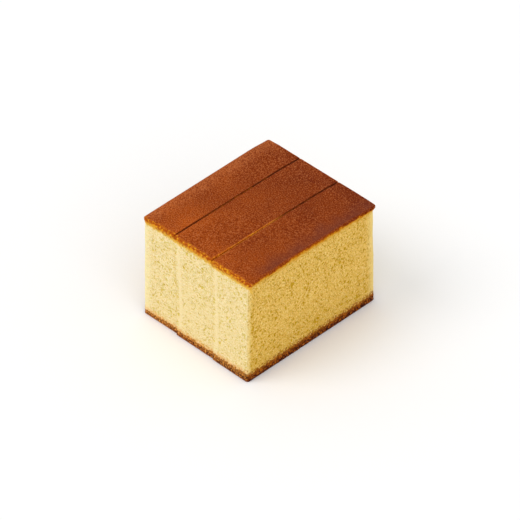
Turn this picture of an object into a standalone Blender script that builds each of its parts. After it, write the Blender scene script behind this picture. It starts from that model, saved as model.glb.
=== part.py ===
"""Castella sponge cake: a short block cut from the loaf, sliced in three and left standing together.

Metres, +Z up. The slices stand side by side along X, from left to right, and each is longest along Y.
The stepped ends of the slices face -Y. The origin is the middle of the block's footprint, on the surface
that it stands on.
"""

import math

import bmesh
import bpy

# The block
WIDTH = 0.0635  # across the three slices, over the skin's rim
LENGTH = 0.0766  # of the longest slice, over the skin's rim
HEIGHT = 0.0528  # from the board to the skin, before it sinks towards the edges

# The knife's two cuts between the slices: where each passes at the top and at mid-length, how far it
# wanders over the length, and how far it leans to +X on its way down, over LEAN_REACH from the skin
CUT_X = (-0.0130, 0.0094)
CUT_TURN = (0.0003, 0.0004)
CUT_LEAN = (0.0018, 0.0014)
LEAN_REACH = 0.0360
CUT_GAP = 0.0003  # left between two slices

# The slices have slid a little along each other, so that their near ends are stepped: how far back the
# near right corner of each one is at the board, how much further its near left corner is, and how much
# further the whole end is at the skin
SETBACK = (0.0017, 0.0008, 0.0)
END_TURN = (0.0, 0.0002, 0.0003)
END_LEAN = (0.0002, 0.0005, 0.0008)

# The layers of one slice, which give its wall its outline
BASE_CRUST = 0.0030  # thickness of the dark crust under the crumb
SKIN_RIM = 0.0009  # depth of the browned skin where it shows at a cut
SKIN_TUCK = 0.00030  # the crumb draws in under the skin's rim
SKIN_LIP = 0.0018  # height over which it does so
TUCK_FROM = 0.15  # share of the height from which the crumb draws in towards the skin
CORNER_TUCK = 0.00040  # the crumb draws in further under the far right corner
CORNER_FROM = 0.20  # share of the length, from mid-length, where that begins
BASE_TUCK = 0.00005  # the crumb hardly draws in above the base crust
BASE_LIP = 0.0016  # height over which it does so
WALL_WAVE = 0.00012  # depth of the knife's marks in the outer walls
WAVE_UP = 310.0  # how fast those marks follow each other up the wall, in radians per metre
WAVE_ALONG = 90.0  # and how they slope

# The skin, which is highest by the near right corner and falls gently away from it
SKIN_FALL = 0.0010  # how much lower the other three corners lie
SIDE_ROLL = 0.0003  # how much lower the skin lies along the block's two sides
SIDE_REACH = 0.0060  # how far in from a side it begins to sink
FAR_ROLL = 0.0006  # how much lower the skin lies along the far end
FAR_REACH = 0.0110  # how far in from the far end it begins to sink
RIM_DROOPS = ((-0.0235, 0.0050, 0.0005), (0.0310, 0.0045, 0.0008))  # on the right edge: Y, reach, depth
SEAM_DROP = 0.0004  # the right slice stands this much lower along its near left edge
SEAM_REACH = 0.0048  # how far from the cut that fades out
SEAM_SHARE = 0.60  # and over what share of the length

# Rounded edges, as widths of their bevels
LEFT_CORNER = 0.0018
RIGHT_NEAR_CORNER = 0.0017
RIGHT_FAR_CORNER = 0.0013  # at the skin, from where it widens downwards
RIGHT_FAR_FOOT = 0.0027  # the same corner at the base crust
SEAM_LEFT_CORNER = 0.0011  # a slice's left corners at a cut, which stand proud of its neighbour
SEAM_RIGHT_CORNER = 0.0004
SKIN_EDGE = 0.0007
SEAM_EDGE = 0.0003
BASE_EDGE = 0.0007
WIDEST_BEVEL = max(LEFT_CORNER, RIGHT_FAR_FOOT)
BEVEL_SEGMENTS = 3

# Divisions of a slice
STEPS_ACROSS = 5
STEPS_ALONG = 13
STEPS_UP = 8
MARGIN = 0.0034  # from an edge to the first division, clear of the bevels
TOLERANCE = 1e-6

NAMES = ("slice_left", "slice_middle", "slice_right")
LAST = len(NAMES) - 1
CRUMB_YELLOWS = ((0.85, 0.66, 0.29), (0.83, 0.63, 0.26), (0.80, 0.58, 0.22))
SKIN_BROWN = (0.28, 0.055, 0.013)
BASE_BROWN = (0.13, 0.028, 0.012)
CRUMB_ROUGHNESS = 0.85
SKIN_ROUGHNESS = 0.5
BASE_ROUGHNESS = 0.7


def clear_scene():
    for obj in list(bpy.context.scene.objects):
        bpy.data.objects.remove(obj, do_unlink=True)


def smooth(value):
    """Eases 0..1 into 0..1 with flat ends, and holds at 0 and 1 outside."""
    held = min(max(value, 0.0), 1.0)
    return held * held * (3.0 - 2.0 * held)


def swell(value, middle, reach):
    """1 at the middle, falling smoothly to 0 at the reach."""
    return smooth(1.0 - abs(value - middle) / reach)


def knife_x(cut, y, z):
    """X of one knife cut at a place on it."""
    lean = CUT_LEAN[cut] * smooth((HEIGHT - z) / LEAN_REACH)
    return CUT_X[cut] + CUT_TURN[cut] * y / LENGTH + lean


def tuck(y, z, corner):
    """How far an outer wall lies inside the skin's rim: nothing at the two crusts, most under the skin."""
    above_base = smooth((z - BASE_CRUST) / BASE_LIP)
    below_skin = smooth((HEIGHT - SKIN_RIM - z) / SKIN_LIP)
    near_skin = smooth((z / HEIGHT - TUCK_FROM) / (1.0 - TUCK_FROM))
    near_corner = smooth((y / LENGTH - CORNER_FROM) / (0.5 - CORNER_FROM))
    deep = SKIN_TUCK + corner * CORNER_TUCK * near_corner
    drawn_in = BASE_TUCK + (deep - BASE_TUCK) * near_skin
    wave = WALL_WAVE * (0.5 + 0.5 * math.sin(WAVE_UP * z + WAVE_ALONG * y))
    return above_base * below_skin * (drawn_in + wave)


def skin_height(index, x, y):
    """Z of the skin: nearly flat, sinking towards the sides and the far end."""
    across, along = x / WIDTH + 0.5, y / LENGTH + 0.5
    at_side = 1.0 - smooth((WIDTH / 2 - abs(x)) / SIDE_REACH)
    at_far_end = 1.0 - smooth((LENGTH / 2 - y) / FAR_REACH)
    sink = SKIN_FALL * (1.0 - across * (1.0 - along)) + SIDE_ROLL * at_side + FAR_ROLL * at_far_end
    if index == LAST:
        for middle, reach, depth in RIM_DROOPS:
            sink += depth * swell(y, middle, reach) * at_side
        sink += SEAM_DROP * swell(x, CUT_X[-1], SEAM_REACH) * (1.0 - smooth(along / SEAM_SHARE))
    return HEIGHT - sink


def divide(mesh, axis, levels):
    """Cuts the unit cube's surface at levels along one axis."""
    normal = [0.0, 0.0, 0.0]
    normal[axis] = 1.0
    for level in levels:
        place = [0.0, 0.0, 0.0]
        place[axis] = level
        everything = list(mesh.verts) + list(mesh.edges) + list(mesh.faces)
        bmesh.ops.bisect_plane(mesh, geom=everything, plane_co=place, plane_no=normal)


def even_levels(count, margin):
    """Levels from one margin of the unit length to the other."""
    return [margin + (1.0 - 2.0 * margin) * step / (count - 1) for step in range(count)]


def layer_levels():
    """Levels up a slice: one at each change of the wall's outline, and even ones up the crumb."""
    low = BASE_CRUST + BASE_LIP
    high = HEIGHT - SKIN_RIM - SKIN_LIP
    crumb = [low + (high - low) * step / (STEPS_UP - 1) for step in range(STEPS_UP)]
    return [z / HEIGHT for z in (BASE_CRUST, *crumb, HEIGHT - SKIN_RIM)]


def lies_at(edge, axis, level):
    """True for an edge of the unit cube whose two ends have this level on this axis."""
    return all(abs(vert.co[axis] - level) < TOLERANCE for vert in edge.verts)


def corner_width(index, edge, outer):
    """Width of the bevel up one corner of a slice."""
    if not outer:
        return SEAM_LEFT_CORNER if lies_at(edge, 0, 0.0) else SEAM_RIGHT_CORNER
    if index == 0:
        return LEFT_CORNER
    if lies_at(edge, 1, 0.0):
        return RIGHT_NEAR_CORNER
    down = 1.0 - sum(vert.co.z for vert in edge.verts) / 2
    return RIGHT_FAR_CORNER + (RIGHT_FAR_FOOT - RIGHT_FAR_CORNER) * down


def edge_width(index, edge):
    """Width of the bevel along one edge of the unit cube's outline, or 0 on the flat."""
    left, right = lies_at(edge, 0, 0.0), lies_at(edge, 0, 1.0)
    on_end = lies_at(edge, 1, 0.0) or lies_at(edge, 1, 1.0)
    on_side = left or right
    outer = (left and index == 0) or (right and index == LAST)
    if on_side and on_end:
        return corner_width(index, edge, outer)
    if not (on_side or on_end):
        return 0.0
    if on_side and not outer:
        return SEAM_EDGE if lies_at(edge, 2, 0.0) or lies_at(edge, 2, 1.0) else 0.0
    if lies_at(edge, 2, 1.0):
        return SKIN_EDGE
    return BASE_EDGE if lies_at(edge, 2, 0.0) else 0.0


def shape_slice(index, co):
    """Carries a point of the unit cube to its place on the slice."""
    across, along, up = co
    first, last = index == 0, index == LAST
    z = HEIGHT * up
    y_near = -LENGTH / 2 + SETBACK[index] + END_TURN[index] * (1.0 - across) + END_LEAN[index] * up
    y_far = LENGTH / 2
    y = y_near + (y_far - y_near) * along
    left = -WIDTH / 2 if first else knife_x(index - 1, y, z) + CUT_GAP / 2
    right = WIDTH / 2 if last else knife_x(index, y, z) - CUT_GAP / 2
    inside = tuck(y, z, 1.0 if last else 0.0)
    if first:
        left += inside
    if last:
        right -= inside
    x = left + (right - left) * across
    y = y_near + inside + (y_far - y_near - 2.0 * inside) * along
    return x, y, skin_height(index, x, y) * up


def layer(face):
    """Which layer of a slice a face of the unit cube shows: 0 crumb, 1 skin, 2 base crust."""
    z = HEIGHT * face.calc_center_median().z
    if z > HEIGHT - SKIN_RIM:
        return 1
    return 2 if z < BASE_CRUST else 0


def plain_material(name, colour, roughness):
    material = bpy.data.materials.new(name)
    material.use_nodes = True
    shader = material.node_tree.nodes["Principled BSDF"]
    shader.inputs["Base Color"].default_value = (*colour, 1.0)
    shader.inputs["Roughness"].default_value = roughness
    shader.inputs["Metallic"].default_value = 0.0
    return material


def make_slice(index, skin, base, collection):
    """One slice: a cube cut into bands, carried to shape, then rounded along its edges."""
    mesh = bmesh.new()
    bmesh.ops.create_cube(mesh, size=1.0)
    bmesh.ops.translate(mesh, verts=mesh.verts, vec=(0.5, 0.5, 0.5))
    divide(mesh, 0, even_levels(STEPS_ACROSS, MARGIN / (WIDTH / 3)))
    divide(mesh, 1, even_levels(STEPS_ALONG, MARGIN / LENGTH))
    divide(mesh, 2, layer_levels())
    underside = [face for face in mesh.faces if face.calc_center_median().z < TOLERANCE]
    bmesh.ops.dissolve_faces(mesh, faces=underside)
    for face in mesh.faces:
        face.material_index = layer(face)
    weight = mesh.edges.layers.float.new("bevel_weight_edge")
    for edge in mesh.edges:
        edge[weight] = edge_width(index, edge) / WIDEST_BEVEL
    for vert in mesh.verts:
        vert.co = shape_slice(index, vert.co)
    bmesh.ops.recalc_face_normals(mesh, faces=mesh.faces)

    data = bpy.data.meshes.new(NAMES[index])
    mesh.to_mesh(data)
    mesh.free()
    data.shade_smooth()
    data.set_sharp_from_angle(angle=math.radians(40.0))
    data.materials.append(plain_material(f"{NAMES[index]}_crumb", CRUMB_YELLOWS[index], CRUMB_ROUGHNESS))
    data.materials.append(skin)
    data.materials.append(base)
    obj = bpy.data.objects.new(NAMES[index], data)
    collection.objects.link(obj)
    bevel = obj.modifiers.new("rounded edges", "BEVEL")
    bevel.limit_method = "WEIGHT"
    bevel.width = WIDEST_BEVEL
    bevel.segments = BEVEL_SEGMENTS
    bevel.use_clamp_overlap = False
    return obj


clear_scene()
cake = bpy.data.collections.new("castella_sponge_cake")
bpy.context.scene.collection.children.link(cake)
baked_skin = plain_material("baked_skin", SKIN_BROWN, SKIN_ROUGHNESS)
base_crust = plain_material("base_crust", BASE_BROWN, BASE_ROUGHNESS)
for slice_index in range(len(NAMES)):
    make_slice(slice_index, baked_skin, base_crust, cake)
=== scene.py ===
import math

import bmesh
import bpy
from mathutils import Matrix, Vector


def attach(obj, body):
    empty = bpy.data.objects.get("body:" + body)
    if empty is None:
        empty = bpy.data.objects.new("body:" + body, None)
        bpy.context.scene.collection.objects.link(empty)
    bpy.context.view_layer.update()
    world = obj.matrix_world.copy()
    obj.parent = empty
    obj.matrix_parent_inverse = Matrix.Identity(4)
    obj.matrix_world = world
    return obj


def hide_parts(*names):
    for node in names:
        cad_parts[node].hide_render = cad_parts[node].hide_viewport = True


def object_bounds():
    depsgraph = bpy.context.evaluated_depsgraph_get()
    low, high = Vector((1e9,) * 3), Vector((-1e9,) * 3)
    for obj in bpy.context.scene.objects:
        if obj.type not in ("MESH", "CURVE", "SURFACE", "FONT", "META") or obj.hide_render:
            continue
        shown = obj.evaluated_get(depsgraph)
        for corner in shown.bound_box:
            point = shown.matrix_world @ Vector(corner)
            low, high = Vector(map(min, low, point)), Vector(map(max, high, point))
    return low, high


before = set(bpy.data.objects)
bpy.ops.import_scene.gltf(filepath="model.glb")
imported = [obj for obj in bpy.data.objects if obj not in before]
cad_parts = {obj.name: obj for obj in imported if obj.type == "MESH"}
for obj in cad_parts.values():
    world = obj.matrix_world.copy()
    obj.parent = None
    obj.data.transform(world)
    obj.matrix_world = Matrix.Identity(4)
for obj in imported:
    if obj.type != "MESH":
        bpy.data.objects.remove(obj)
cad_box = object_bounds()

MM = 0.001

# ---------------------------------------------------------------------------------------------------
# The three slices of castella, cut with a long knife and pushed together, each a little further out.
# Egg sponge baked as a deep sheet: pale yellow crumb full of fine pores, a thin browned skin that turns
# orange where it meets the crumb, and a dark crust where it met the pan.
# ---------------------------------------------------------------------------------------------------
# Each slice: its node, whether its left and right walls show, and whether the skin is torn off its right
# rim, which the lower slice beside it then leaves in sight
SLICES = (
    ("slice_left", 1.0, 0.0, 0.0),
    ("slice_middle", 0.0, 0.0, 1.0),
    ("slice_right", 0.0, 1.0, 0.0),
)
SIZES = {
    "Large Pore": 1.55 * MM,
    "Small Pore": 0.85 * MM,
    "Pore Depth": 0.55,
    "Hollow Depth": 0.50 * MM,
    "Seam Hole Depth": 0.15 * MM,
    "Smear Width": 3.6 * MM,
    "Worn Width": 5.0 * MM,
    "Skin Thickness": 1.9 * MM,
    "Base Thickness": 3.0 * MM,
    "Wall Wave": 0.32 * MM,
    "Torn Crumb": 0.30 * MM,
    "Pebbling": 0.07 * MM,
    "Seed": 3.0,
}
FINE_GRID = 0.20 * MM  # the voxels that a slice's surface is first laid out on
SOFTENINGS = 6  # how many times its steps are smoothed away
MOST_TRIANGLES = 190000
UPPER_CLOSING = 0.14 * MM  # how far a hidden wall moves out towards its neighbour just under the skin
LOWER_CLOSING = 0.45 * MM  # how far all of it moves out from 3 mm under the skin down, corners included
FAR_RIM_TUCK = 2.0  # by how many times itself the distance to the far end grows, to keep orange off the top
BARED_RIM_TUCK = 0.95 * MM  # how much further out it starts beside a bared rim


class Recipe:
    """Builds a node tree step by step. Each step adds a node, feeds it and gives back what comes out."""

    def __init__(self, tree):
        self.tree = tree
        self.tree.nodes.clear()

    def feed(self, socket, value):
        if isinstance(value, bpy.types.NodeSocket):
            self.tree.links.new(value, socket)
        elif value is not None:
            socket.default_value = value

    def step(self, kind, settings=None, inputs=None, output=0):
        node = self.tree.nodes.new(kind)
        for name, value in (settings or {}).items():
            setattr(node, name, value)
        for key, value in (inputs or {}).items():
            self.feed(node.inputs[key], value)
        return node.outputs[output] if output is not None else node

    def math(self, operation, *values, clamp=False):
        settings = {"operation": operation, "use_clamp": clamp}
        return self.step("ShaderNodeMath", settings, dict(enumerate(values)))

    def times(self, first, *others):
        for other in others:
            first = self.math("MULTIPLY", first, other)
        return first

    def plus(self, first, *others):
        for other in others:
            first = self.math("ADD", first, other)
        return first

    def minus(self, first, second):
        return self.math("SUBTRACT", first, second)

    def rest(self, share):
        """What is left of 1."""
        return self.math("SUBTRACT", 1.0, share, clamp=True)

    def vector(self, operation, first, second):
        """One step of vector arithmetic. The second value of SCALE is a number."""
        slot = "Scale" if operation == "SCALE" else 1
        return self.step("ShaderNodeVectorMath", {"operation": operation}, {0: first, slot: second})

    def parts(self, vector):
        """The three numbers of a vector, or of a colour."""
        return self.step("ShaderNodeSeparateXYZ", None, {0: vector}, None).outputs

    def ease(self, value, start, end):
        """0 before start and 1 after end, or the other way about where start is the larger."""
        settings = {"interpolation_type": "SMOOTHSTEP"}
        return self.step("ShaderNodeMapRange", settings, {0: value, 1: start, 2: end, 3: 0.0, 4: 1.0})

    def noise(self, place, scale, detail=2.0, output="Fac"):
        """Noise with the given number of waves to the unit of place."""
        inputs = {"Vector": place, "Scale": scale, "Detail": detail}
        return self.step("ShaderNodeTexNoise", None, inputs, output)

    def sway(self, place, scale, size, detail=2.0):
        """Noise as a length to either side of nothing."""
        return self.times(self.minus(self.noise(place, scale, detail), 0.5), size)

    def between(self, share, first, second):
        """The number that lies the given share of the way from the first to the second."""
        return self.plus(self.times(self.rest(share), first), self.times(share, second))

    def mix(self, share, first, second):
        """The colour that lies the given share of the way from the first to the second."""
        fed = {0: share}
        for slot, colour in ((6, first), (7, second)):
            fed[slot] = (*colour, 1.0) if isinstance(colour, tuple) else colour
        return self.step("ShaderNodeMix", {"data_type": "RGBA"}, fed, None).outputs[2]

    def layers(self, depth, stops):
        """The colours met on the way through stops of (depth, colour)."""
        first, last = stops[0][0], stops[-1][0]
        share = self.step("ShaderNodeMapRange", None, {0: depth, 1: first, 2: last})
        ramp = self.step("ShaderNodeValToRGB", None, {0: share}, None)
        band = ramp.color_ramp.elements
        band.remove(band[1])
        for index, (reached, colour) in enumerate(stops):
            element = band[0] if index == 0 else band.new(0.5)
            element.position = (reached - first) / (last - first)
            element.color = (*colour, 1.0)
        return ramp.outputs["Color"]


# The sponge's material. It measures in millimetres from the middle of the block's foot.
sponge = bpy.data.materials.new("castella sponge")
sponge.use_nodes = True
look = Recipe(sponge.node_tree)
own_place = look.step("ShaderNodeTexCoord", output="Object")
place = look.step("ShaderNodeMapping", None, {"Vector": own_place, "Scale": (1.0 / MM, 1.0 / MM, 1.0 / MM)})
across, along, height = look.parts(place)

# The patterns in the sponge: how many waves of each to the millimetre, how fine its detail, and how far it
# is shifted, so that no two lie alike
PATTERNS = {
    "grain": (1.70, 4.0, (0.0, 0.0, 0.0)),
    "dots": (2.00, 2.0, (40.0, 70.0, 20.0)),
    "speckle": (2.05, 1.5, (90.0, 10.0, 50.0)),
    "rim blotches": (0.85, 2.5, (5.0, 55.0, 25.0)),
    "base crumbs": (1.25, 4.0, (15.0, 35.0, 60.0)),
    "stray crumbs": (1.10, 2.0, (0.0, 0.0, 0.0)),
}


def pattern(name, where=place):
    """One of the patterns above, as a number about 0.5."""
    fineness, detail, shift = PATTERNS[name]
    return look.noise(look.vector("ADD", where, shift), fineness, detail)


def stored(name):
    """A value that the shaping of a slice leaves on its surface. Lengths are in millimetres."""
    return look.step("ShaderNodeAttribute", {"attribute_name": name}, output="Fac")


def by_wall_and_shade(at_end, at_cut):
    """A colour that differs between the loaf's trimmed ends, paler and drier, and the slices' fresh cuts,
    deeper and darker: partly their own difference, partly painted shade, the cuts coloured as a side turned
    from the light looks.
    """
    return look.mix(on_cut, at_end, at_cut)


on_cut = stored("on_cut")
under_skin = stored("under_skin")
from_end = stored("from_end")

# The crumb: a fine grain of cream and dusk, pores painted a deeper yellow as the shade inside them, crowding
# together in places, and a few dots painted dark as shade in tiny pits. All of them thin out where the knife
# has smeared it, where the crumb is also paler, partly a painted highlight. A cut is deeper in colour towards
# its foot, and the block's outermost upright edges are worn paler.
TALLER = (1.0, 1.0, 0.92)  # grain and pores are a little taller than they are wide
CUT_DUSK = (0.615, 0.360, 0.042)
FOOT_TOP, FOOT_BOTTOM = 28.0, 5.0
GRAIN_SHARE, SMEAR_HIGHLIGHT_SHARE, FOOT_SHARE = 0.75, 0.35, 0.38
PORE_SHADE_SHARE, DOT_SHADE_SHARE, WORN_SHARE = 0.95, 0.75, 0.60

cream = by_wall_and_shade((0.965, 0.828, 0.530), (0.945, 0.675, 0.245))
dusk = by_wall_and_shade((0.765, 0.588, 0.228), CUT_DUSK)
pore_shade_yellow = by_wall_and_shade((0.705, 0.540, 0.098), (0.555, 0.325, 0.005))
dot_shade_brown = by_wall_and_shade((0.540, 0.410, 0.120), (0.340, 0.195, 0.025))
worn_pale = by_wall_and_shade((0.940, 0.830, 0.445), (0.920, 0.740, 0.300))

smeared = stored("smeared")
grain = pattern("grain", look.vector("MULTIPLY", place, TALLER))
grainy = look.times(look.rest(look.times(smeared, 0.65)), GRAIN_SHARE)
holes = look.ease(stored("pitted"), 0.02, 0.80)
dots = look.times(look.ease(pattern("dots"), 0.62, 0.70), look.rest(look.times(smeared, 0.80)))
foot = look.times(look.ease(height, FOOT_TOP, FOOT_BOTTOM), on_cut, FOOT_SHARE)
crumb = by_wall_and_shade((0.875, 0.692, 0.343), (0.808, 0.514, 0.119))
crumb = look.mix(foot, crumb, CUT_DUSK)
crumb = look.mix(look.times(look.ease(grain, 0.52, 0.66), grainy), crumb, cream)
crumb = look.mix(look.times(look.ease(grain, 0.50, 0.36), grainy), crumb, dusk)
# Where smeared the crumb is paler; beside a slice's left edge this is also a painted highlight on the rounded
# edge lit from the left.
crumb = look.mix(look.times(smeared, SMEAR_HIGHLIGHT_SHARE), crumb, cream)
crumb = look.mix(look.times(holes, PORE_SHADE_SHARE), crumb, pore_shade_yellow)
crumb = look.mix(look.times(dots, DOT_SHADE_SHARE), crumb, dot_shade_brown)
crumb = look.mix(look.times(stored("worn"), WORN_SHARE), crumb, worn_pale)

# The skin: darkest towards the far right corner, with a painted sheen along its left edge, lighter where it
# curves down, and a painted reflection along its right edge, darker and cooler where it rolls over
SKIN_LIGHT, SKIN_BROWN = (0.465, 0.086, 0.004), (0.170, 0.020, 0.000)
SKIN_LEFT_SHEEN, SKIN_RIGHT_SHEEN = (0.500, 0.130, 0.032), (0.175, 0.039, 0.019)
DARKER_BY_X, DARKER_BY_Y, DARKENING = 0.0045, 0.0100, 0.6
LEFT_SHEEN_SHARE, RIGHT_SHEEN_SHARE = 0.55, 0.80

turned = look.plus(look.times(across, DARKER_BY_X), look.times(along, DARKER_BY_Y))
turned = look.plus(turned, look.noise(place, 0.06), look.sway(place, 0.5, 0.14))
baked = look.math("POWER", look.math("MAXIMUM", turned, 0.0), DARKENING, clamp=True)
skin = look.mix(baked, SKIN_LIGHT, SKIN_BROWN)
left_sheen = look.ease(look.plus(across, look.sway(place, 0.10, 8.0)), -22.0, -31.0)
skin = look.mix(look.times(left_sheen, LEFT_SHEEN_SHARE), skin, SKIN_LEFT_SHEEN)
right_sheen = look.ease(look.plus(across, look.sway(place, 0.12, 12.0)), 22.0, 31.0)
right_sheen = look.times(right_sheen, look.ease(along, -34.0, -22.0), RIGHT_SHEEN_SHARE)
right_sheen = look.times(right_sheen, look.ease(under_skin, 0.35, 0.05), look.ease(across, 31.5, 30.4))
skin = look.mix(right_sheen, skin, SKIN_RIGHT_SHEEN)

# It is speckled all over, though least under the painted reflection along its right edge. Beside a knife cut
# it is painted dark, as shade where the gap between the slices falls in shadow, and torn orange instead along
# the near part of the right cut, where the lower slice has pulled away.
SPECK_DARK, SPECK_LIGHT = (0.115, 0.008, 0.000), (0.530, 0.168, 0.055)
SEAM_SHADE, TORN_ORANGE = (0.080, 0.010, 0.001), (0.700, 0.250, 0.030)
DARK_SHARE, LIGHT_SHARE, LIGHTER_BY_X, SEAM_SHADE_AND_TORN_SHARE = 0.64, 0.56, -0.003, 0.80

speckle = pattern("speckle")
speckled = look.rest(look.times(right_sheen, 0.7))
light_share = look.plus(look.times(across, LIGHTER_BY_X), LIGHT_SHARE)
skin = look.mix(look.times(look.ease(speckle, 0.50, 0.36), speckled, DARK_SHARE), skin, SPECK_DARK)
skin = look.mix(look.times(look.ease(speckle, 0.50, 0.66), speckled, light_share), skin, SPECK_LIGHT)
seam_edge = look.plus(stored("from_seam"), look.sway(place, 0.8, 0.6))
pulled = look.times(look.ease(across, 6.0, 9.0), look.ease(along, 7.0, -3.0))
seam_shade_and_torn_skin = look.mix(pulled, SEAM_SHADE, TORN_ORANGE)
skin = look.mix(look.times(look.ease(seam_edge, 0.50, 0.15), SEAM_SHADE_AND_TORN_SHARE), skin, seam_shade_and_torn_skin)

# What shows on the way down from the skin, as millimetres and colour. At an end the way starts on top of
# the skin, just short of its edge; at a cut it starts at the skin's own height.
BLOTCH_DARK, BLOTCH_LIGHT = (0.330, 0.055, 0.002), (0.870, 0.415, 0.014)
END_RIM = (
    (-1.60, (0.380, 0.075, 0.005)),
    (-1.15, (0.560, 0.150, 0.012)),
    (-0.70, (0.500, 0.110, 0.006)),
    (-0.20, BLOTCH_DARK),
    (0.40, (0.560, 0.150, 0.003)),
    (1.00, (0.810, 0.275, 0.004)),
    (1.95, BLOTCH_LIGHT),
    (3.10, (0.870, 0.570, 0.095)),
)
# The cut's colours run deeper and darker than the end's: partly their own, partly painted shade, like the
# crumb at a cut.
CUT_RIM = (
    (0.00, (0.210, 0.032, 0.000)),
    (0.40, (0.415, 0.098, 0.000)),
    (0.80, (0.560, 0.185, 0.002)),
    (1.50, (0.640, 0.290, 0.015)),
    (3.00, (0.680, 0.370, 0.045)),
)
RAGGED = ((0.33, 2.6), (1.1, 2.4), (2.6, 1.2))  # waves to the millimetre, and their size in millimetres
DEEPER_AT_RIGHT, DEEPER_FROM_MIDDLE = -0.35, -0.60
DARK_BLOTCHES, LIGHT_BLOTCHES = 0.68, 0.60

ragged = look.plus(*(look.sway(place, *wave) for wave in RAGGED))
deeper_end = look.times(look.ease(across, 4.0, 16.0), DEEPER_AT_RIGHT)
deeper_cut = look.times(look.ease(look.math("ABSOLUTE", along), 8.0, 24.0), DEEPER_FROM_MIDDLE)
end_depth = look.plus(look.minus(under_skin, from_end), ragged, deeper_end)
below_top = look.ease(under_skin, 0.05, 0.70)
cut_depth = look.plus(under_skin, look.times(look.plus(ragged, deeper_cut), below_top))
end_rim = look.mix(look.ease(end_depth, 2.6, 3.5), look.layers(end_depth, END_RIM), crumb)
blotches = pattern("rim blotches")
blotchy = look.times(look.ease(end_depth, -1.6, -0.9), look.ease(end_depth, 2.6, 1.2))
dark_blotches = look.times(look.ease(blotches, 0.49, 0.40), blotchy, DARK_BLOTCHES)
light_blotches = look.times(look.ease(blotches, 0.53, 0.63), blotchy, LIGHT_BLOTCHES)
end_rim = look.mix(dark_blotches, end_rim, BLOTCH_DARK)
end_rim = look.mix(light_blotches, end_rim, BLOTCH_LIGHT)
cut_rim = look.mix(look.ease(cut_depth, 0.8, 4.2), look.layers(cut_depth, CUT_RIM), crumb)
under_end = look.mix(look.ease(end_depth, -1.9, -1.3), skin, end_rim)
under_cut = look.mix(look.ease(cut_depth, 0.05, 0.40), skin, cut_rim)
at_end = look.ease(look.plus(from_end, look.times(ragged, 0.4)), 2.6, 1.8)
colour = look.mix(at_end, under_cut, under_end)

# The base crust: crumbs of three browns, scorched where it met the pan, torn at its upper edge, darker and
# higher towards the right, and with a few of its crumbs smeared up into the sponge
END_TOP, END_TOP_BY_X, CUT_TOP = 3.6, 0.030, 4.0
TEARING, CUT_TEARING = 2.0, 1.2
RIGHT_SHARE, LEFT_SHARE, UPPER_SHARE = 0.26, 0.16, 0.45

at_ends = look.rest(on_cut)
dark = by_wall_and_shade((0.060, 0.016, 0.003), (0.035, 0.004, 0.000))
brown = by_wall_and_shade((0.305, 0.078, 0.008), (0.125, 0.016, 0.000))
tan = by_wall_and_shade((0.760, 0.325, 0.060), (0.430, 0.125, 0.006))
scorch = by_wall_and_shade((0.280, 0.075, 0.024), (0.065, 0.010, 0.001))
tearing = look.times(look.sway(place, 1.2, 1.0), look.plus(look.times(on_cut, CUT_TEARING), TEARING))
torn = look.plus(height, look.sway(place, 0.45, 1.8), tearing)
crumbs = pattern("base crumbs")
base = look.mix(look.ease(crumbs, 0.51, 0.42), brown, dark)
base = look.mix(look.ease(crumbs, 0.53, 0.62), base, tan)
base = look.mix(look.ease(look.plus(height, look.sway(place, 0.9, 0.8)), 1.0, 0.4), base, scorch)
base = look.mix(look.times(look.ease(torn, 1.8, 3.6), UPPER_SHARE), base, tan)
base = look.mix(look.times(look.ease(across, -6.0, 22.0), at_ends, RIGHT_SHARE), base, dark)
base = look.mix(look.times(look.ease(across, -8.0, -22.0), at_ends, LEFT_SHARE), base, tan)
base_top = look.between(on_cut, look.plus(look.times(across, END_TOP_BY_X), END_TOP), CUT_TOP)
in_base = look.ease(look.minus(torn, base_top), 0.25, -0.15)
fringe = look.ease(look.minus(height, base_top), 2.8, -0.5)
stray = look.ease(look.plus(pattern("stray crumbs"), look.times(fringe, 0.12)), 0.58, 0.62)
stray = look.times(stray, look.ease(fringe, 0.02, 0.40), look.between(on_cut, 0.50, 0.66))
colour = look.mix(look.times(fringe, look.between(on_cut, 0.38, 0.28)), colour, tan)
colour = look.mix(stray, colour, look.mix(look.times(on_cut, 0.6), tan, brown))
colour = look.mix(in_base, colour, base)

# The finish: dull crumb with a fine tooth, and skin and crust that are a little smoother
CRUMB_ROUGHNESS, CRUST_ROUGHNESS = 0.92, 0.50
SPECKLE_RELIEF, RELIEF_DEPTH = 0.30, 0.40 * MM

on_skin = look.ease(look.minus(under_skin, look.times(at_end, from_end)), 0.9, 0.2)
crusted = look.math("MAXIMUM", on_skin, in_base)
roughnesses = {0: crusted, 3: CRUMB_ROUGHNESS, 4: CRUST_ROUGHNESS}
crumb_relief = look.times(look.minus(grain, look.times(holes, 0.6)), look.rest(crusted))
skin_relief = look.times(speckle, on_skin, SPECKLE_RELIEF)
relief = look.plus(crumb_relief, skin_relief, look.times(crumbs, in_base))
bumpy = {"Strength": 0.70, "Distance": RELIEF_DEPTH, "Height": relief}
finish = {
    "Base Color": colour,
    "Roughness": look.step("ShaderNodeMapRange", None, roughnesses),
    "Normal": look.step("ShaderNodeBump", None, bumpy),
    "Specular IOR Level": 0.04,
    "Subsurface Weight": 0.10,
    "Subsurface Radius": (1.0, 0.6, 0.25),
    "Subsurface Scale": 0.8 * MM,
}
shader = look.step("ShaderNodeBsdfPrincipled", {"subsurface_method": "RANDOM_WALK"}, finish)
look.step("ShaderNodeOutputMaterial", None, {"Surface": shader}, None)

# What gives a slice its surface: one tree of Geometry Nodes, whose inputs are the slice and the sizes above.
# It measures in metres.
cut_sponge = bpy.data.node_groups.new("cut sponge", "GeometryNodeTree")
sockets = {}


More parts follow.
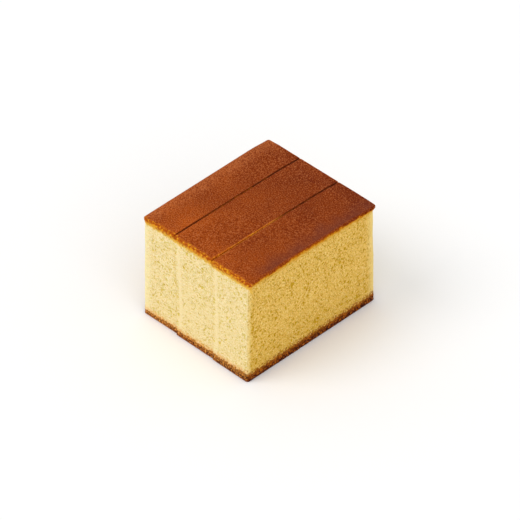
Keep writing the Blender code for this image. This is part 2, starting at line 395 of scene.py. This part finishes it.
def ask_for(name, kind, value=None):
    """Adds a named input to the tree and keeps its identifier, by which a modifier sets it."""
    socket = cut_sponge.interface.new_socket(name, in_out="INPUT", socket_type=kind)
    if value is not None:
        socket.default_value = value
    sockets[name] = socket.identifier


ask_for("Slice", "NodeSocketGeometry")
ask_for("Solid", "NodeSocketObject")
for wanted in ("Left Shows", "Right Shows", "Right Rim Bared"):
    ask_for(wanted, "NodeSocketFloat")
for wanted, size in SIZES.items():
    ask_for(wanted, "NodeSocketFloat", size)
ask_for("Material", "NodeSocketMaterial")
cut_sponge.interface.new_socket("Slice", in_out="OUTPUT", socket_type="NodeSocketGeometry")

cut = Recipe(cut_sponge)
given = cut.step("NodeGroupInput", output=None).outputs
solid_step = {"Object": given["Solid"]}
solid = cut.step("GeometryNodeObjectInfo", {"transform_space": "ORIGINAL"}, solid_step, "Geometry")
flush = cut.step("GeometryNodeProximity", {"target_element": "FACES"}, {0: solid}, "Position")
surface = cut.step("GeometryNodeSetPosition", None, {"Geometry": given["Slice"], "Position": flush})
position = cut.step("GeometryNodeInputPosition")
east, north, level = cut.parts(position)
facing = cut.step("GeometryNodeInputNormal", output="Normal")
face_x, face_y, face_z = cut.parts(facing)
wall = cut.ease(cut.math("ABSOLUTE", face_z), 0.75, 0.40)
skyward = cut.ease(face_z, 0.3, 0.7)
face_on_cut = cut.ease(cut.math("ABSOLUTE", face_x), 0.50, 0.85)

# The unevenness of the surface: how many waves of each to the metre, and how fine its detail
UNEVENNESS = {
    "torn crumb": (700.0, 3.0),
    "pebbling": (900.0, 3.0),
    "skin edge": (650.0, 3.0),
    "base crust": (850.0, 3.0),
    "walls": (130.0, 2.0),
    "worn edges": (150.0, 2.0),
    "pore crowds": (140.0, 2.0),
    "pore outlines": (520.0, 2.0),
    "hollows": (1150.0, 2.5),
    "seam holes": (800.0, 2.0),
}
seeds = cut.step("ShaderNodeCombineXYZ", None, {0: given["Seed"], 1: given["Seed"]})
seeded = cut.vector("ADD", position, seeds)


def rough(kind, size, *shares, where=seeded):
    """Unevenness of one kind, to either side of nothing, by as much as all the shares let through."""
    scale, detail = UNEVENNESS[kind]
    return cut.times(cut.sway(where, scale, size, detail), *shares)


# The walls that stand against a neighbour, which stay plain
against_right = cut.times(face_x, cut.rest(given["Right Shows"]))
against_left = cut.times(face_x, cut.rest(given["Left Shows"]), -1.0)
against = cut.math("MAXIMUM", against_right, against_left)
shown = cut.ease(against, 0.85, 0.55)

# How far a point lies under the skin: a ray comes down on the slice just inside the wall
inwards = cut.vector("MULTIPLY", cut.vector("SCALE", facing, -2.0 * MM), (1.0, 1.0, 0.0))
well_above = cut.vector("ADD", cut.vector("ADD", position, inwards), (0.0, 0.0, 100.0 * MM))
downwards = {"Ray Direction": (0.0, 0.0, -1.0), "Ray Length": 1000.0 * MM}
ray = {"Target Geometry": solid, "Source Position": well_above, **downwards}
skin_top = cut.parts(cut.step("GeometryNodeRaycast", None, ray, "Hit Position"))[2]
depth = cut.minus(skin_top, level)

# The hidden walls move out to close the knife cuts: nearly to touching just under the skin, and lower down
# so far that the two slices at a cut run 0.6 mm into each other, out of sight
lower_closing = cut.times(cut.ease(against, 0.05, 0.30), cut.ease(depth, 1.5 * MM, 3.0 * MM), LOWER_CLOSING)
upper_closing = cut.times(cut.ease(against, 0.90, 0.98), cut.ease(depth, 0.6 * MM, 1.5 * MM), UPPER_CLOSING)
closing = cut.math("MAXIMUM", upper_closing, lower_closing)
outwards = cut.math("SIGN", face_x)
closing_step = cut.step("ShaderNodeCombineXYZ", None, {0: cut.times(closing, outwards)})


def from_wall(turned):
    """The distance to the walls of the solid that are turned the given way."""
    kept = {"Geometry": solid, "Selection": cut.math("GREATER_THAN", turned, 0.90)}
    walls = cut.step("GeometryNodeSeparateGeometry", {"domain": "FACE"}, kept, "Selection")
    return cut.step("GeometryNodeProximity", {"target_element": "FACES"}, {0: walls}, "Distance")


# How far it lies from a wall whose rim shows orange, which both ends do and the near half of a bared right
# rim, and how far from a knife cut
CLEAR = 1.0  # what is added where a wall doesn't count, which is more than any slice's width
far_end = cut.plus(cut.times(cut.math("GREATER_THAN", north, 0.0), FAR_RIM_TUCK), 1.0)
end_distance = cut.times(from_wall(cut.math("ABSOLUTE", face_y)), far_end)
far_half = cut.times(cut.ease(north, -6.0 * MM, 9.0 * MM), 3.0 * MM)
whole_rim = cut.times(cut.rest(given["Right Rim Bared"]), CLEAR)
rim_distance = cut.plus(from_wall(face_x), BARED_RIM_TUCK, far_half, whole_rim)
orange_distance = cut.math("MINIMUM", end_distance, rim_distance)
from_left_cut = cut.plus(from_wall(cut.times(face_x, -1.0)), cut.times(given["Left Shows"], CLEAR))
from_right_cut = cut.plus(from_wall(face_x), cut.times(given["Right Shows"], CLEAR))
seam_distance = cut.math("MINIMUM", from_left_cut, from_right_cut)

# How close it lies to one of the slice's upright edges. The knife smeared a band of crumb beside the left
# edge of each slice that has a neighbour there, and the block's own outermost edges are worn smooth, more so
# at its left and far sides than at the near right. The band also carries a painted highlight, where the
# slice's rounded left edge stands out a little and catches the light from the left.
BAND_SMEAR_AND_HIGHLIGHT, LEAST_WEAR_SMEAR, BROAD_WEAR_SMEAR = 0.68, 0.2, 0.4
NARROW_WEAR = 0.3
two_ends = cut.step("GeometryNodeInputMeshEdgeVertices", output=None).outputs
run = cut.vector("NORMALIZE", cut.vector("SUBTRACT", two_ends["Position 1"], two_ends["Position 2"]), None)
upright_run = cut.math("GREATER_THAN", cut.math("ABSOLUTE", cut.parts(run)[2]), 0.9)
fold = cut.step("GeometryNodeInputMeshEdgeAngle", output="Unsigned Angle")
folded = cut.times(cut.math("GREATER_THAN", fold, 0.30), upright_run)
kept = {"Geometry": solid, "Selection": folded}
corners = cut.step("GeometryNodeSeparateGeometry", {"domain": "EDGE"}, kept, "Selection")
from_corner = cut.step("GeometryNodeProximity", {"target_element": "EDGES"}, {0: corners}, "Distance")
uneven = cut.plus(from_corner, rough("worn edges", 1.6 * MM, where=position))
box = cut.step("GeometryNodeBoundBox", None, {0: solid}, None).outputs
middle = cut.times(cut.plus(cut.parts(box["Min"])[0], cut.parts(box["Max"])[0]), 0.5)
left_half = cut.math("LESS_THAN", east, middle)
outermost_right = cut.times(cut.rest(left_half), given["Right Shows"])
outermost = cut.plus(cut.times(left_half, given["Left Shows"]), outermost_right)
inner = cut.rest(outermost)
band = cut.times(cut.ease(uneven, 0.4 * MM, 1.4 * MM), cut.ease(uneven, given["Smear Width"], 2.0 * MM))
band = cut.times(band, left_half, inner)
broad = cut.math("MAXIMUM", given["Left Shows"], cut.math("GREATER_THAN", north, 0.0))
narrow_width = cut.times(given["Worn Width"], NARROW_WEAR)
worn_width = cut.plus(cut.times(broad, given["Worn Width"], 1.0 - NARROW_WEAR), narrow_width)
wear = cut.times(cut.ease(uneven, worn_width, -0.5 * MM), outermost)
wear = cut.times(wear, cut.math("MAXIMUM", broad, face_on_cut))
wear_smear = cut.times(wear, cut.plus(cut.times(broad, BROAD_WEAR_SMEAR), LEAST_WEAR_SMEAR))
smear_and_highlight = cut.plus(cut.times(band, BAND_SMEAR_AND_HIGHLIGHT), wear_smear)

# Pores in the crumb, uneven in outline and taller than they are wide. They crowd together in places, and are
# fewer where it is smeared.
PORE_WANDER = 1.5 * MM
CROWD_DEPTH, CROWD_HOLLOWS = 0.5, 0.13

wander = cut.noise(seeded, *UNEVENNESS["pore outlines"], "Color")
wander = cut.vector("SCALE", cut.vector("SUBTRACT", wander, (0.5, 0.5, 0.5)), PORE_WANDER)
shaken = cut.vector("MULTIPLY", cut.vector("ADD", seeded, wander), TALLER)
crowded = rough("pore crowds", CROWD_DEPTH, where=position)


def pore(size, smallest, largest):
    """A bowl in each cell of a sponge, its radius between two shares of the cell, or none if below 0."""
    cells = {"Vector": shaken, "Scale": cut.math("DIVIDE", 1.0, size)}
    cell = cut.step("ShaderNodeTexVoronoi", None, cells, None).outputs
    chance = cut.parts(cell["Color"])[0]
    radius = cut.plus(cut.times(chance, largest - smallest), smallest, crowded)
    radius = cut.math("MINIMUM", radius, largest)
    reach = cut.math("DIVIDE", cell["Distance"], cut.math("MAXIMUM", radius, 0.02))
    bowl = cut.math("SQRT", cut.rest(cut.times(reach, reach)))
    return bowl, cut.times(bowl, cut.math("MAXIMUM", radius, 0.0), size)


higher_up = cut.times(cut.ease(level, 18.0 * MM, 42.0 * MM), face_on_cut, 0.025)
elsewhere = cut.vector("ADD", shaken, (0.033, 0.008, 0.021))
field = cut.noise(elsewhere, *UNEVENNESS["hollows"])
field = cut.plus(field, cut.plus(rough("pore crowds", CROWD_HOLLOWS, where=position), higher_up))
hollow = cut.ease(field, 0.550, 0.700)
large_bowl, large_depth = pore(given["Large Pore"], -0.45, 0.44)
small_bowl, small_depth = pore(given["Small Pore"], -0.25, 0.50)
below_skin = cut.ease(depth, given["Skin Thickness"], cut.times(given["Skin Thickness"], 1.4))
above_base = cut.ease(level, cut.times(given["Base Thickness"], 0.6), given["Base Thickness"])
in_crumb = cut.times(below_skin, above_base, wall, shown)
open_wall = cut.times(in_crumb, cut.rest(cut.times(smear_and_highlight, 0.9)))
seam_holes = cut.ease(cut.noise(seeded, *UNEVENNESS["seam holes"]), 0.53, 0.62)
seam_holes = cut.times(seam_holes, cut.ease(from_corner, 1.5 * MM, 0.6 * MM), inner, in_crumb)
hollow_depth = cut.times(hollow, given["Hollow Depth"])
pores = cut.times(cut.plus(large_depth, small_depth, hollow_depth), given["Pore Depth"], open_wall)
pores = cut.plus(pores, cut.times(seam_holes, given["Seam Hole Depth"]))
pits = cut.math("MAXIMUM", large_bowl, cut.times(small_bowl, 0.7))
pits = cut.times(cut.math("MAXIMUM", pits, cut.times(hollow, 0.8)), open_wall)
pits = cut.math("MAXIMUM", pits, cut.times(seam_holes, 0.40))

# Torn crumb between them, the skin's fine pebbling, its rough edge, and slow waves in the walls
rim = cut.times(cut.ease(depth, 0.2 * MM, 0.8 * MM), cut.rest(below_skin), wall, shown)
near_board = cut.ease(level, cut.times(given["Base Thickness"], 1.5), cut.times(given["Base Thickness"], 0.9))
out = cut.plus(
    rough("torn crumb", given["Torn Crumb"], open_wall),
    rough("pebbling", given["Pebbling"], skyward),
    rough("skin edge", given["Torn Crumb"], rim, 1.3),
    rough("base crust", given["Torn Crumb"], near_board, wall, shown, 1.2),
    rough("walls", given["Wall Wave"], cut.rest(skyward), shown),
)
clear_of_board = cut.ease(face_z, -0.7, -0.3)
out = cut.times(cut.minus(out, pores), clear_of_board)

# What the material reads off the surface
for name, value in (
    ("under_skin", cut.times(depth, 1.0 / MM)),
    ("from_end", cut.times(orange_distance, 1.0 / MM)),
    ("from_seam", cut.times(seam_distance, 1.0 / MM)),
    ("on_cut", face_on_cut),
    ("smeared", smear_and_highlight),
    ("worn", wear),
    ("pitted", pits),
):
    kept = {"Geometry": surface, "Name": name, "Value": value}
    surface = cut.step("GeometryNodeStoreNamedAttribute", {"data_type": "FLOAT", "domain": "POINT"}, kept)
moved = {"Geometry": surface, "Offset": cut.vector("ADD", cut.vector("SCALE", facing, out), closing_step)}
surface = cut.step("GeometryNodeSetPosition", None, moved)
surface = cut.step("GeometryNodeSetShadeSmooth", None, {"Geometry": surface})
surface = cut.step("GeometryNodeRealizeInstances", None, {"Geometry": surface})
surface = cut.step("GeometryNodeSetMaterial", None, {"Geometry": surface, "Material": given["Material"]})
cut.step("NodeGroupOutput", None, {"Slice": surface}, None)


def joined_solid(node):
    """The slice's CAD solid with its loose triangles joined up, as an object of its own."""
    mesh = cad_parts[node].data.copy()
    loose = bmesh.new()
    loose.from_mesh(mesh)
    bmesh.ops.remove_doubles(loose, verts=loose.verts, dist=1e-6)
    loose.to_mesh(mesh)
    loose.free()
    mesh.materials.clear()
    made = bpy.data.objects.new(node + "_solid", mesh)
    bpy.context.scene.collection.objects.link(made)
    return made


def finished_mesh(obj):
    """The object's mesh with its modifiers carried out."""
    graph = bpy.context.evaluated_depsgraph_get()
    return bpy.data.meshes.new_from_object(obj.evaluated_get(graph), depsgraph=graph)


def cut_slice(node, left_shows, right_shows, rim_bared):
    """One slice as a fine mesh: the solid laid out anew on a fine grid, given its surface, then thinned."""
    solid_object = joined_solid(node)
    blank = bpy.data.objects.new(node + "_blank", solid_object.data.copy())
    bpy.context.scene.collection.objects.link(blank)
    grid = blank.modifiers.new("fine grid", "REMESH")
    grid.mode = "VOXEL"
    grid.voxel_size = FINE_GRID
    grid.use_smooth_shade = True
    soften = blank.modifiers.new("soft facets", "SMOOTH")
    soften.factor = 0.5
    soften.iterations = SOFTENINGS
    knife = blank.modifiers.new("cut sponge", "NODES")
    knife.node_group = cut_sponge
    knife[sockets["Solid"]] = solid_object
    knife[sockets["Left Shows"]] = left_shows
    knife[sockets["Right Shows"]] = right_shows
    knife[sockets["Right Rim Bared"]] = rim_bared
    knife[sockets["Material"]] = sponge
    fine = finished_mesh(blank)
    blank.modifiers.clear()
    blank.data = fine
    triangles = sum(len(face.vertices) - 2 for face in fine.polygons)
    fewer = blank.modifiers.new("fewer faces", "DECIMATE")
    fewer.ratio = min(1.0, MOST_TRIANGLES / triangles)
    made = bpy.data.objects.new("cut_" + node, finished_mesh(blank))
    made.data.shade_smooth()
    bpy.context.scene.collection.objects.link(made)
    bpy.data.objects.remove(blank)
    bpy.data.objects.remove(solid_object)
    return made


for node, left_shows, right_shows, rim_bared in SLICES:
    cake_slice = cut_slice(node, left_shows, right_shows, rim_bared)
    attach(cake_slice, "root")
    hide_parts(node)

# ---------------------------------------------------------------------------------------------------
# The table that the cake stands on.
# A plain pale sheet, in soft light from all round, with more of it from the cake's left.
# ---------------------------------------------------------------------------------------------------
TABLE_SIZE = 60.0
TABLE_WHITE = (0.97, 0.97, 0.97, 1.0)
SKY_STRENGTH = 0.70

# Each light: its name, the way to it, its strength, and its spread
LIGHTS = (
    ("key", Vector((-0.50, -0.80, 1.10)), 0.90, math.radians(35.0)),
    ("fill", Vector((0.90, -0.50, 1.00)), 0.60, math.radians(50.0)),
)

table_mesh = bpy.data.meshes.new("pale table")
table_top = bmesh.new()
bmesh.ops.create_grid(table_top, x_segments=1, y_segments=1, size=TABLE_SIZE / 2)
table_top.to_mesh(table_mesh)
table_top.free()
table = bpy.data.objects.new("pale table", table_mesh)
bpy.context.scene.collection.objects.link(table)
paint = bpy.data.materials.new("pale table")
paint.use_nodes = True
paint_shader = paint.node_tree.nodes["Principled BSDF"]
paint_shader.inputs["Base Color"].default_value = TABLE_WHITE
paint_shader.inputs["Roughness"].default_value = 0.9
paint_shader.inputs["Specular IOR Level"].default_value = 0.1
table_mesh.materials.append(paint)

studio = bpy.data.worlds.new("studio")
studio.use_nodes = True
studio.node_tree.nodes["Background"].inputs["Color"].default_value = (1.0, 1.0, 1.0, 1.0)
studio.node_tree.nodes["Background"].inputs["Strength"].default_value = SKY_STRENGTH
bpy.context.scene.world = studio

for name, towards, strength, spread in LIGHTS:
    sun = bpy.data.lights.new(name, "SUN")
    sun.energy = strength
    sun.angle = spread
    lamp = bpy.data.objects.new(name, sun)
    lamp.rotation_euler = towards.to_track_quat("Z", "Y").to_euler()
    bpy.context.scene.collection.objects.link(lamp)

# ---------------------------------------------------------------------------------------------------
# The camera.
# A long lens far off, to the near right of the cake and well above it.
# ---------------------------------------------------------------------------------------------------
AZIMUTH, ELEVATION = math.radians(44.67), math.radians(39.62)
DISTANCE = 2.760
LENS = 457.8
AIM_RIGHT, AIM_DOWN = 0.78 * MM, 0.69 * MM  # from the middle of the cake to the middle of the picture

back = Vector(
    (
        math.sin(AZIMUTH) * math.cos(ELEVATION),
        -math.cos(AZIMUTH) * math.cos(ELEVATION),
        math.sin(ELEVATION),
    )
)
right = Vector((math.cos(AZIMUTH), math.sin(AZIMUTH), 0.0))
up = back.cross(right)
lens = bpy.data.cameras.new("camera")
lens.lens = LENS
lens.clip_start = 0.1
lens.clip_end = 100.0
camera = bpy.data.objects.new("camera", lens)
aim = (cad_box[0] + cad_box[1]) / 2 + right * AIM_RIGHT - up * AIM_DOWN
camera.location = aim + back * DISTANCE
camera.rotation_euler = back.to_track_quat("Z", "Y").to_euler()
bpy.context.scene.collection.objects.link(camera)
bpy.context.scene.camera = camera
bpy.context.scene.view_settings.view_transform = "Standard"
